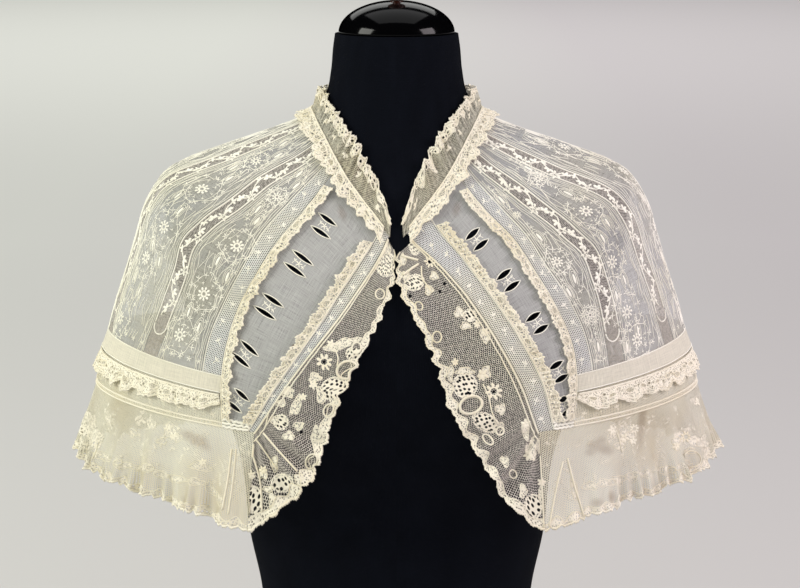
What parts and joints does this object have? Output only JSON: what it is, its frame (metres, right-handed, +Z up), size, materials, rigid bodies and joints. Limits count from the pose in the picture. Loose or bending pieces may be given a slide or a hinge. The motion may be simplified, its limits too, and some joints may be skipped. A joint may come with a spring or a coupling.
{
  "type": "lace dress collar on a dress form",
  "caption": "Deep cape collar of lace, net and embroidered lawn, open in front, worn on a black limbless dress form with a domed neck cap and a finial.",
  "frame": {"origin": "centre of the dress form's flat underside", "axes": "+Z up through the neck, -Y towards the front, where the collar opens, +X to the viewer's right"},
  "size_m": [0.5892, 0.3365, 0.7794],
  "materials": {
    "ivory_net": "sheer cotton net, embroidered",
    "embroidered_lawn": "sheer lawn with whitework",
    "plain_lawn": "sheer plain lawn",
    "lace": "cream lace",
    "black_jersey": "matt knitted cover",
    "black_gloss": "gloss black",
    "turned_wood": "varnished reddish-brown"
  },
  "bodies": {
    "root": {"form_torso": "black_jersey", "form_cap": "black_gloss", "form_finial": "turned_wood", "left_front_flounce": "lace", "left_front_strip": "ivory_net", "left_lawn_band": "plain_lawn", "left_lawn_trim_inner": "lace", "left_lawn_trim_outer": "lace", "left_side_strip": "ivory_net", "left_panel_1": "embroidered_lawn", "left_panel_2": "embroidered_lawn", "left_panel_3": "embroidered_lawn", "left_panel_4": "embroidered_lawn", "left_panel_5": "embroidered_lawn", "left_insertion_1": "ivory_net", "left_insertion_2": "ivory_net", "left_insertion_3": "ivory_net", "left_insertion_4": "ivory_net", "left_neck_frill": "lace", "left_neck_trim": "lace", "left_tuck": "plain_lawn", "left_lower_band": "ivory_net", "left_lower_frill": "lace", "left_hem_flounce": "lace", "right_front_flounce": "lace", "right_front_strip": "ivory_net", "right_lawn_band": "plain_lawn", "right_lawn_trim_inner": "lace", "right_lawn_trim_outer": "lace", "right_side_strip": "ivory_net", "right_panel_1": "embroidered_lawn", "right_panel_2": "embroidered_lawn", "right_panel_3": "embroidered_lawn", "right_panel_4": "embroidered_lawn", "right_panel_5": "embroidered_lawn", "right_insertion_1": "ivory_net", "right_insertion_2": "ivory_net", "right_insertion_3": "ivory_net", "right_insertion_4": "ivory_net", "right_neck_frill": "lace", "right_neck_trim": "lace", "right_tuck": "plain_lawn", "right_lower_band": "ivory_net", "right_lower_frill": "lace", "right_hem_flounce": "lace", "back_insertion": "ivory_net", "back_tuck": "plain_lawn", "back_lower_band": "ivory_net", "back_lower_frill": "lace", "back_hem_flounce": "lace"}
  },
  "joints": []
}
